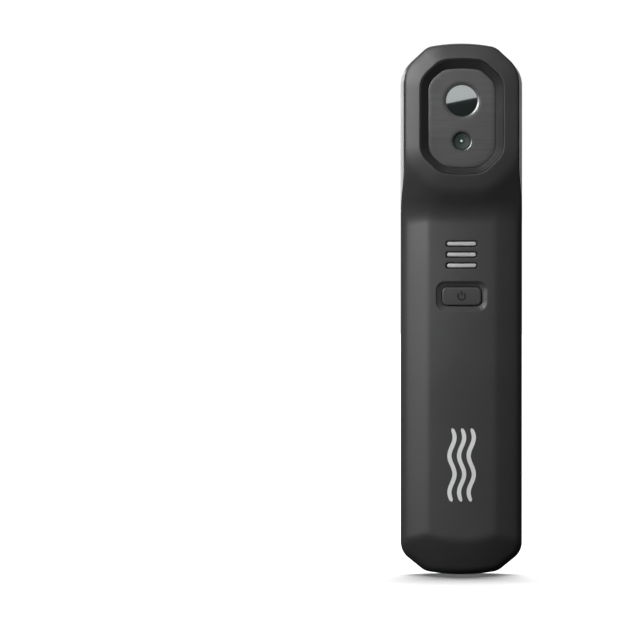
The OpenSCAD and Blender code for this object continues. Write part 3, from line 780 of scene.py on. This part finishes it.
SIGN = moulded_plastic("sign_ink", (0.004, 0.004, 0.004), 0.8, depth=0.000005, wear=0.1)

CAD_MATERIALS = (
    BLACK, BEZEL, PLATE, GREY, BARS, BUTTON, RUBBER, GERMANIUM, EYE_GLASS_PAINTED_HIGHLIGHT, STEEL, BOARD, SHIELD,
    INNER, LED, FOIL, FLEX, LABEL, PALE,
)


def dress_cad_nodes():
    """Every carried-over CAD node gets the material of its slot, named without Blender's .001."""
    materials = {material.name.split(".")[0]: material for material in CAD_MATERIALS}
    slots = {part["node"]: part["material_slot"] for part in frame["record"]["subparts"]}
    for name, node in frame["nodes"].items():
        for slot in node.material_slots:
            slot.material = materials[slots[name]]


# ---------------- front

def slot_loop(z):
    """Opening for one light bar."""
    return resample(round_rect(SLOT_W, SLOT_H, SLOT_R, (0, z), 8), 0.4)


def pocket_loop(t):
    """Outline between the pocket's edge (t = 0) and the cap's opening (t = 1)."""
    w = POCKET_W + (CAP_W + 2 * CAP_GAP - POCKET_W) * t
    h = POCKET_H + (CAP_H + 2 * CAP_GAP - POCKET_H) * t
    return round_rect(w, h, POCKET_R + (CAP_HOLE_R - POCKET_R) * t, (0, BUTTON_Z), 10, 16)


def make_pocket(solid, rim):
    """The moat around the power button: sides that slope down to the cap's opening."""
    edge = [solid.verts[i][1] for i in rim]
    floor = -FACE + POCKET_DEPTH
    steps = 10
    rows = []
    for k in range(1, steps + 1):
        fall = (k / steps) ** 0.85
        rows.append((0.97 * k / steps, [y + (floor - y) * fall for y in edge]))
    rows += [(1.0, floor + 0.05), (1.0, floor + 1.2)]
    for t, depth in rows:
        ring = solid.ring(pocket_loop(t), depth)
        solid.bridge(ring, rim)
        rim = ring
    solid.cap(rim)


def make_front_shell():
    """Handle and head in one, with the window's recess, the button's pocket and slots for the bars."""
    holes = [(resample(RECESS, 0.5), 0.25), (pocket_loop(0), 0.25)]
    holes += [(slot_loop(z), 0.12) for z in BARS_Z]
    solid = Solid()
    steps = insets(HANDLE_EDGE_R, range(9, 91, 9))
    rim, (recess, pocket, *slots) = solid.surface(FRONT_OUTLINE, holes, front_height, 0.62, steps)
    solid.skirt(rim, ((PART_Y - 2, 0.0), (PART_Y - SEAM, 0.0), (PART_Y, SEAM)))
    make_pocket(solid, pocket)
    solid.pit(recess, BEZEL_HIGH[1])
    for slot in slots:
        solid.pit(slot, -FACE + SLOT_DEPTH)
    solid.piece("front_housing", BLACK, "housing", slot="black_housing", node="front_shell")


def make_bezel():
    """Sloped wall between the head's rim and the window plate."""
    front, back = BEZEL_LOW[1], BEZEL_HIGH[1]
    solid = Solid()
    solid.hoop((
        (recess_outline(0.03), back), (recess_outline(0.03), front + 0.2),
        (recess_outline(0.09), front + 0.06), (recess_outline(0.2), front + 0.02),
        (recess_outline(0.34), front + 0.14), (plate_outline(-0.35), PLATE_Y - 0.14),
        (plate_outline(-0.16), PLATE_Y - 0.02), (plate_outline(-0.08), PLATE_Y + 0.12),
        (plate_outline(-0.06), PLATE_Y + 0.8), (plate_outline(1.0), PLATE_Y + 0.9),
        (plate_outline(1.0), back),
    ))
    solid.piece("window_surround", BEZEL, "housing", slot="dark_bezel", node="window_bezel", sharp=50)


def make_window_plate():
    """Brushed plate, faintly domed around the thermal lens, with a hole for each lens."""
    outline = resample(plate_outline(), 0.5)
    holes = [
        (circle(COLLAR_R + 0.02, (0, LENS_Z), 96), 0.05),
        (circle(EYE_COLLAR_R + 0.02, (0, EYE_Z), 64), 0.05),
    ]

    def dome(points):
        square = points[:, 0] ** 2 + (points[:, 1] - LENS_Z) ** 2
        return -PLATE_Y - square / (2 * PLATE_DOME_R)

    solid = Solid()
    rim, rings = solid.panel(outline, dome, 0.15, (30, 60, 90), 1.0, holes)
    backs = [solid.ring(solid.points_at(ring), PLATE_HIGH[1]) for ring in [rim] + rings]
    solid.bridge(rim, backs[0])
    for back, ring in zip(backs[1:], rings):
        solid.bridge(back, ring)
    solid.fill_back(backs)
    solid.piece("window_face", PLATE, "housing", slot="window_metal", node="window_plate")


def make_thermal_lens():
    """Germanium window, slightly domed, with a narrow bevel."""
    back, front = LENS_HIGH[1], PLATE_Y + 0.1
    sag = 0.28
    bevel = 0.03
    steps = 16
    profile = [(0, back), (LENS_R - 0.1, back), (LENS_R, back - 0.1), (LENS_R, front + sag + bevel)]
    for i in range(steps + 1):
        r = (LENS_R - bevel) * (1 - i / steps)
        profile.append((r, front + sag * (r / LENS_R) ** 2))
    solid = lathe(profile, LENS_Z, 96)
    solid.piece("thermal_lens", GERMANIUM, "housing", slot="germanium", node="thermal_window")


def trim_ring(name, centre_z, inner_r, outer_r, node, chamfer):
    """Lens trim: a collar flush with the plate, with a hollow chamfer down to the glass."""
    back = node_box(node)[1][1]
    steps = 8
    profile = [(inner_r, back)]
    for i in range(steps + 1):
        across = i / steps
        profile.append((inner_r + (outer_r - inner_r) * across, PLATE_Y + chamfer * (1 - across) ** 1.6))
    profile.append((outer_r, back))
    solid = Solid()
    solid.hoop([(circle(r, (0, centre_z), 96), y) for r, y in profile])
    solid.piece(name, COLLAR, "housing", slot="dark_bezel", node=node, sharp=60)


def make_visible_camera():
    """Small camera: a dark conical well with a beadlike front element at its bottom, whose pale base colour
    is a painted highlight.
    """
    bead, floor = 0.42, PLATE_Y + 1.0
    cone = [
        (0, EYE_HIGH[1]), (EYE_WELL_R, EYE_HIGH[1]), (EYE_WELL_R, PLATE_Y + 0.19),
        (EYE_WELL_R - 0.3, PLATE_Y + 0.8), (bead + 0.3, floor), (0, floor),
    ]
    well = lathe(cone, EYE_Z, 64)
    well.piece("camera_well", WELL, "housing", slot="camera_glass", sharp=50)
    dome = [(0, floor + 0.1), (bead, floor + 0.1)]
    for i in range(9):
        share = 1 - i / 8
        dome.append((bead * share, floor - 0.05 - 0.4 * math.sqrt(1 - share ** 2)))
    glass = lathe(dome, EYE_Z, 32)
    glass.piece("camera_lens", EYE_GLASS_PAINTED_HIGHLIGHT, "housing", slot="camera_glass", node="visible_lens", sharp=50)


def make_light_bars():
    """Light guide: a flat base inside the shell with three bars that fill the slots."""
    base_w, base_h = 11, GUIDE_HIGH[2] - GUIDE_LOW[2]
    base_y = GUIDE_HIGH[1]
    solid = slab(
        lambda i: round_rect(base_w - 2 * i, base_h - 2 * i, 0.6, (0, BARS_Z[1])), base_y - 0.7, base_y, 0.1
    )
    for z in BARS_Z:
        solid.join(slab(
            lambda i: round_rect(BAR_W - 2 * i, BAR_H - 2 * i, BAR_R - i, (0, z), 8),
            GUIDE_LOW[1] + 0.02, base_y - 0.5, 0.3
        ))
    solid.piece("light_bars", BARS, "housing", slot="light_bars", node="light_guide")


def cap_height(points):
    """The cap's gently dished front."""
    x = points[:, 0] / (CAP_W / 2)
    z = (points[:, 1] - BUTTON_Z) / (CAP_H / 2)
    return -BUTTON_LOW[1] - 0.06 * (x * x + z * z)


def make_button():
    """Power button: a dished cap with a rounded edge, on a wider foot inside the shell."""
    outline = round_rect(CAP_W, CAP_H, CAP_R, (0, BUTTON_Z), 10, 24)
    foot_y, foot_out = -FACE + 1.95, 0.8
    solid = Solid()
    rim = solid.panel(outline, cap_height, 0.3, range(15, 91, 15), 0.4)[0]
    solid.skirt(rim, ((foot_y, 0.0), (foot_y, -foot_out), (BUTTON_HIGH[1], -foot_out)))
    solid.piece("button_cap", BUTTON, "button", slot="button_plastic", node="power_button")


def stroke(solid, path, half, height, rise, sink):
    """A closed film along an open path of (x, z) points, following a surface of the given height."""
    centre = np.array(path)
    along = np.gradient(centre, axis=0)
    along /= np.linalg.norm(along, axis=1)[:, None]
    across = np.column_stack([along[:, 1], -along[:, 0]])
    widths = np.broadcast_to(half, len(path))[:, None]
    loop = np.concatenate([centre + across * widths, (centre - across * widths)[::-1]])
    depths = -height(loop)
    top = solid.ring(loop, depths - rise)
    base = solid.ring(loop, depths + sink)
    solid.bridge(top, base)
    last = len(loop) - 1
    for i in range(len(path) - 1):
        solid.face((top[i], top[i + 1], top[last - i - 1], top[last - i]))
        solid.face((base[last - i], base[last - i - 1], base[i + 1], base[i]))


def make_power_sign():
    """Generic power sign on the cap: an open ring and a short bar in dark ink."""
    ring_r, gap, half, steps = 1.02, 40, 0.26, 40
    arc = [math.radians(90 - gap - (360 - 2 * gap) * i / steps) for i in range(steps + 1)]
    ring = [(ring_r * math.cos(a), BUTTON_Z + ring_r * math.sin(a)) for a in arc]
    bar = [(0, BUTTON_Z + 0.25 + 1.25 * i / 6) for i in range(6, -1, -1)]
    solid = Solid()
    for path in (ring, bar):
        stroke(solid, path, half, cap_height, 0.006, 0.04)
    solid.piece("power_sign", SIGN, "button", slot="button_plastic", sharp=60)


def make_heat_mark():
    """Generic mark on the handle: three wavy lines of rising heat, as a thin printed film."""
    low, high, half, sway, steps = 20.6, 41.2, 0.56, 0.72, 60
    share = np.arange(steps + 1) / steps
    taper = half * np.sqrt(np.clip(1 - (2 * share - 1) ** 16, 0, 1)) + 0.03
    solid = Solid()
    for middle in (-2.7, 0.0, 2.7):
        x = middle + sway * np.sin(4 * math.pi * share)
        stroke(solid, np.column_stack([x, high - (high - low) * share]), taper, front_height, 0.015, 0.05)
    solid.piece("heat_mark", MARK, "housing", slot="label", sharp=60)


# ---------------- back

def make_rear_shell():
    """Back of the housing, with openings for the cover, the clip's slide and four screws."""
    outline = resample(stepped_outline(), 0.7)
    gap = 0.1
    low, high = COVER_LOW[2] - gap, COVER_TOP_Z + gap
    cover_w = COVER_HIGH[0] - COVER_LOW[0] + 2 * gap
    cover = resample(round_rect(cover_w, high - low, 1.6, (0, (low + high) / 2)), 0.8)
    low, high = NECK_Z + 0.3, STRAP_HIGH[2] + SLIDE_TRAVEL + 0.5
    slide_w = 2 * (STRAP_HIGH[0] + 0.2)
    slide = resample(round_rect(slide_w, high - low, 0.3, (0, (low + high) / 2)), 0.8)
    screw_r, screw_x = 1.7, 12.9
    screws = [circle(screw_r, (x, z), 32) for x in (-screw_x, screw_x) for z in (13, 97.5)]
    holes = [(cover, 0.2), (slide, 0.2)] + [(loop, 0.15) for loop in screws]
    solid = Solid(1)
    rim, rings = solid.panel(outline, BACK_Y, 2.6, range(10, 91, 10), 1.0, holes)
    solid.skirt(rim, ((PART_Y + 1, 0.0), (PART_Y + SEAM, 0.0), (PART_Y, SEAM)))
    for ring, depth in zip(rings, [COVER_LOW[1], STRAP_LOW[1] - 0.2] + [COVER_LOW[1] - 0.1] * 4):
        solid.pit(ring, depth)
    solid.piece("rear_housing", BLACK, "housing", slot="black_housing", node="rear_shell")


def make_carriage():
    """Sliding saddle: a plate over the back of the head whose sides wrap forward beside it."""
    low, top = CARRIAGE_LOW[2], CARRIAGE_HIGH[2]
    full = both_sides(bottom_cap(HALF_W, 0) + top_cap(HALF_W, LENGTH))
    upper = [(x, z) for x, z in full if NECK_Z + 10 < z < top]
    cut = 0.4
    foot = [(-HALF_W + cut, low), (HALF_W - cut, low), (HALF_W, low + cut)]
    outline = resample(foot + upper + [(-HALF_W, low + cut)], 0.7)
    solid = Solid(1)
    rim = solid.panel(outline, SADDLE_Y, 1.2, range(15, 91, 15), 1.0)[0]
    loop = solid.points_at(rim)
    plate = SADDLE_Y - 1.5
    reach = []
    for x, z in loop:
        beside = np.clip((abs(x) - (HALF_W - HEAD_INSET - 0.9)) / 0.9, 0, 1)
        below = np.clip((z - low) / 0.3, 0, 1)
        above = np.clip((LENGTH - 5.0 - z) / 1.5, 0, 1)
        reach.append(plate + (WING_Y - plate) * beside * below * above)
    nose = 0.4
    wall = 0.8
    rings = [rim]
    for inset, drop in reversed(rounding(nose)):
        depths = [y + nose - drop if y < plate else y for y in reach]
        rings.append(solid.ring(offset_loop(loop, nose - inset), depths))
    rings.append(solid.ring(offset_loop(loop, wall), reach))
    rings.append(solid.ring(offset_loop(loop, wall), plate))
    for a, b in zip(rings, rings[1:]):
        solid.bridge(a, b)
    solid.cap(rings[-1], front=False)
    solid.join(upper_jaw())
    solid.piece("clip_saddle", GREY, "clip", slot="grey_plastic", node="clip_carriage", sharp=50)


def side_prism(corners, radii, half, edge):
    """A solid with a rounded (y, z) profile across the width, with rounded ends."""
    points = np.array(resample(rounded(corners, radii), 0.8))
    following = np.roll(points, -1, axis=0)
    if np.sum(points[:, 0] * following[:, 1] - following[:, 0] * points[:, 1]) < 0:
        points = points[::-1]
    solid = Solid(1)
    solid.stack([
        [(x, y, z) for y, z in offset_loop(points, inset)] for x, inset in rounded_ends(-half, half, edge)
    ])
    return solid


def upper_jaw():
    """Hooked jaw at the top of the saddle."""
    z = JAW_TOP_Z
    y0, y1 = SADDLE_Y - 1.2, CARRIAGE_HIGH[1]
    lip = y1 - JAW_LIP
    corners = [(y0, z), (lip, z), (lip, z - 3), (y1, z - 3), (y1, z + 2), (y0 + 4.2, z + 4), (y0, z + 4)]
    return side_prism(corners, [0, 0.5, 1.0, 1.3, 2.2, 3.0, 0], JAW_HALF_W, JAW_EDGE_R)


def make_lower_jaw():
    """Hooked jaw at the foot of the head, fixed to the housing."""
    z = JAW_FLOOR_Z
    y0, y1 = JAW_LOW[1], JAW_HIGH[1]
    lip = y1 - JAW_LIP
    corners = [(y0, z - 7), (y0 + 5, z - 7), (y1, z - 3), (y1, z + 3), (lip, z + 3), (lip, z), (y0, z)]
    jaw = side_prism(corners, [0.3, 3.0, 2.2, 1.3, 1.0, 0.5, 0], JAW_HALF_W, JAW_EDGE_R)
    jaw.piece("fixed_jaw", GREY, "housing", slot="grey_plastic", node="lower_jaw", sharp=50)


def make_rear_cover():
    """Flat cover over the battery."""
    w, h = COVER_HIGH[0] - COVER_LOW[0], COVER_TOP_Z - COVER_LOW[2]
    centre = (0, (COVER_LOW[2] + COVER_TOP_Z) / 2)
    solid = slab(
        lambda i: round_rect(w - 2 * i, h - 2 * i, 1.5 - i, centre),
        COVER_LOW[1], COVER_HIGH[1], 0.25, facing=1
    )
    solid.piece("back_cover", BLACK, "housing", slot="black_housing", node="rear_cover")


def ribbed_pad(name, corner_r, node, body):
    """Rubber pad with soft cross ribs moulded into its face."""
    low, high = node_box(node)
    centre = ((low[0] + high[0]) / 2, (low[2] + high[2]) / 2)
    outline = resample(round_rect(high[0] - low[0], high[2] - low[2], corner_r, centre, 8), 0.6)
    edge = min(0.4, (high[1] - low[1]) * 0.6)
    pitch, depth, margin = 2.0, 0.22, 1.0

    def ribs(points):
        side = np.maximum(edge_distance(points, outline), 0)
        wave = 0.5 - 0.5 * np.cos(2 * math.pi * (points[:, 1] - low[2]) / pitch)
        return high[1] - depth * wave * np.clip((side - margin) / 0.6, 0, 1)

    solid = Solid(1)
    rim = solid.panel(outline, ribs, edge, (30, 60, 90), 0.33)[0]
    solid.skirt(rim, ((low[1], 0.0),))
    solid.piece(name, RUBBER, body, slot="rubber", node=node)


def jaw_pad(name, node, body):
    """Flat rubber pad on a jaw."""
    low, high = node_box(node)
    w, d = high[0] - low[0], high[1] - low[1]
    centre = ((low[0] + high[0]) / 2, (low[1] + high[1]) / 2)
    loops = []
    for z, inset in rounded_ends(low[2], high[2], 0.25):
        loop = round_rect(w - 2 * inset, d - 2 * inset, 1.0 - inset, centre)
        loops.append([(x, y, z) for x, y in loop])
    solid = Solid()
    solid.stack(loops)
    solid.piece(name, RUBBER, body, slot="rubber", node=node)


def make_springs():
    """Extension springs: real coils that stretch between the anchor and the sliding crossbar."""
    wire, turns, per_turn = 0.17, 44, 16
    count = turns * per_turn
    for side in ("left", "right"):
        low, high = node_box("clip_spring_" + side)
        x, y = (low[0] + high[0]) / 2, (low[1] + high[1]) / 2
        r = (high[0] - low[0]) / 2 - wire
        length = high[2] - low[2] - 2 * wire
        curve = bpy.data.curves.new("spring_" + side, "CURVE")
        curve.dimensions = "3D"
        curve.bevel_depth = wire * MM
        curve.bevel_resolution = 2
        curve.use_fill_caps = True
        spline = curve.splines.new("POLY")
        spline.points.add(count)
        for i in range(count + 1):
            a = 2 * math.pi * i / per_turn
            point = (x + r * math.cos(a), y + r * math.sin(a), low[2] + wire + length * i / count)
            spline.points[i].co = (*(c * MM for c in point), 1)
        coil = add_object("spring_curve_" + side, curve)
        graph = bpy.context.evaluated_depsgraph_get()
        mesh = bpy.data.meshes.new_from_object(coil.evaluated_get(graph))
        bpy.data.objects.remove(coil)
        mesh.materials.clear()
        mesh.materials.append(STEEL)
        mesh.shade_smooth()
        spring = add_object("coil_spring_" + side, mesh)
        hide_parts("clip_spring_" + side)
        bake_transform(spring)


def make_label():
    """Blank rating label."""
    low, high = node_box("rating_label")
    w, h = high[0] - low[0], high[2] - low[2]
    centre = (0, (low[2] + high[2]) / 2)
    solid = slab(
        lambda i: round_rect(w - 2 * i, h - 2 * i, 1.0, centre), low[1], high[1], 0.04, facing=1
    )
    solid.piece("blank_label", LABEL, "housing", slot="label", node="rating_label")


# ---------------- stage

def make_floor():
    """White floor that the camera sees but that throws no light back onto the object."""
    size = 3.0
    corners = [(-size, -size, 0), (size, -size, 0), (size, size, 0), (-size, size, 0)]
    mesh = bpy.data.meshes.new("floor")
    mesh.from_pydata(corners, [], [(0, 1, 2, 3)])
    look = Look("floor", (0.9, 0.9, 0.9), 0.9)
    look.inputs["Emission Color"].default_value = (1, 1, 1, 1)
    look.inputs["Emission Strength"].default_value = 0.1
    mesh.materials.append(look.material)
    floor = add_object("floor", mesh)
    floor.visible_glossy = False
    floor.visible_diffuse = False
    return floor


def area_light(name, azimuth, elevation, distance, size, power, aim_z=0.09, tilt=0.0):
    """A softbox aimed at the object's axis. Azimuth 0 is in front and grows to the left in the picture."""
    around_z, up = math.radians(azimuth), math.radians(elevation)
    away = Vector((-math.sin(around_z) * math.cos(up), -math.cos(around_z) * math.cos(up), math.sin(up)))
    light = bpy.data.lights.new(name, "AREA")
    light.shape = "RECTANGLE"
    light.size, light.size_y = size
    light.energy = power
    lamp = add_object(name, light)
    lamp.location = Vector((0, 0, aim_z)) + away * distance
    turn = (-away).to_track_quat("-Z", "Y").to_matrix()
    lamp.rotation_euler = (turn @ Matrix.Rotation(math.radians(tilt), 3, "Z")).to_euler()
    lamp.visible_camera = False
    return lamp


def link_light(lamp, floor, state):
    """Lets a lamp light only the floor (INCLUDE) or everything but the floor (EXCLUDE)."""
    group = bpy.data.collections.new(lamp.name + "_receivers")
    group.objects.link(floor)
    group.collection_objects[0].light_linking.link_state = state
    lamp.light_linking.receiver_collection = group


def make_lights(floor):
    """Softboxes that light only the object, and a broad sun that lights only the floor."""
    lens_card = area_light("lens_card", 0, 15, 3.0, (2.4, 1.5), 5.2, tilt=12)
    lens_card.visible_diffuse = False
    front_right = area_light("front_right", -30, 38, 0.5, (0.25, 0.25), 1.1, aim_z=0.13)
    front_right.visible_glossy = False
    lamps = [
        area_light("key", 35, 15, 0.4, (0.15, 0.2), 1.35, aim_z=0.14),
        area_light("key_side", 55, 15, 0.4, (0.15, 0.2), 0.44, aim_z=0.13),
        area_light("glint", 50, 48, 0.45, (0.15, 0.15), 0.3, aim_z=0.13),
        area_light("side", 100, 30, 1.2, (0.5, 0.5), 3.2),
        area_light("front_left", 42, 8, 0.6, (0.3, 0.3), 0.55, aim_z=0.12),
        area_light("back", 180, 50, 1.2, (0.6, 0.6), 4.5),
        lens_card,
        front_right,
    ]
    for lamp in lamps:
        link_light(lamp, floor, "EXCLUDE")
    light = bpy.data.lights.new("floor_light", "SUN")
    light.energy = 7.6
    light.angle = math.radians(60)
    sun = add_object("floor_light", light)
    sun.rotation_euler = (math.radians(-55), 0, 0)
    link_light(sun, floor, "INCLUDE")


def make_world():
    """White to the camera, dim to the object, so that the dark plastic keeps its contrast."""
    world = bpy.data.worlds.new("studio")
    bpy.context.scene.world = world
    world.use_nodes = True
    tree = world.node_tree
    tree.nodes.clear()
    path = add_node(tree, "ShaderNodeLightPath")
    seen = add_node(tree, "ShaderNodeBackground", Color=(1, 1, 1, 1), Strength=1.05)
    lit = add_node(tree, "ShaderNodeBackground", Color=(0.85, 1.0, 0.98, 1), Strength=0.02)
    mix = add_node(tree, "ShaderNodeMixShader")
    out = add_node(tree, "ShaderNodeOutputWorld")
    for start, end in (
        (path.outputs["Is Camera Ray"], mix.inputs["Fac"]), (lit.outputs[0], mix.inputs[1]),
        (seen.outputs[0], mix.inputs[2]), (mix.outputs[0], out.inputs["Surface"]),
    ):
        tree.links.new(start, end)


def make_camera():
    """Long lens, almost level with the object, which stands in the right half of the picture."""
    distance = 4.0
    rise = math.radians(1.2)
    frame_width = 0.1757
    side = -0.0418
    middle = 0.0734
    data = bpy.data.cameras.new("camera")
    data.sensor_width = 36
    data.lens = data.sensor_width * distance / frame_width
    data.clip_start = 0.1
    data.clip_end = 50
    camera = add_object("camera", data)
    camera.location = (side, -distance * math.cos(rise), middle + distance * math.sin(rise))
    camera.rotation_euler = (math.radians(90) - rise, 0, 0)
    bpy.context.scene.camera = camera


make_camera()
dress_cad_nodes()
make_front_shell()
make_bezel()
make_window_plate()
make_thermal_lens()
trim_ring("thermal_trim", LENS_Z, LENS_R + 0.02, COLLAR_R, "thermal_lens_trim", 0.2)
make_visible_camera()
trim_ring("camera_trim", EYE_Z, EYE_WELL_R + 0.01, EYE_COLLAR_R, "visible_lens_trim", 0.17)
make_light_bars()
make_button()
make_power_sign()
make_heat_mark()
make_rear_shell()
make_rear_cover()
make_lower_jaw()
make_carriage()
ribbed_pad("cover_grip", 2.0, "cover_pad", "housing")
ribbed_pad("saddle_grip", 3.0, "carriage_pad", "clip")
jaw_pad("lower_grip", "lower_jaw_pad", "housing")
jaw_pad("upper_grip", "upper_jaw_pad", "clip")
make_springs()
make_label()
make_lights(make_floor())
make_world()
bpy.context.scene.view_settings.view_transform = "Standard"
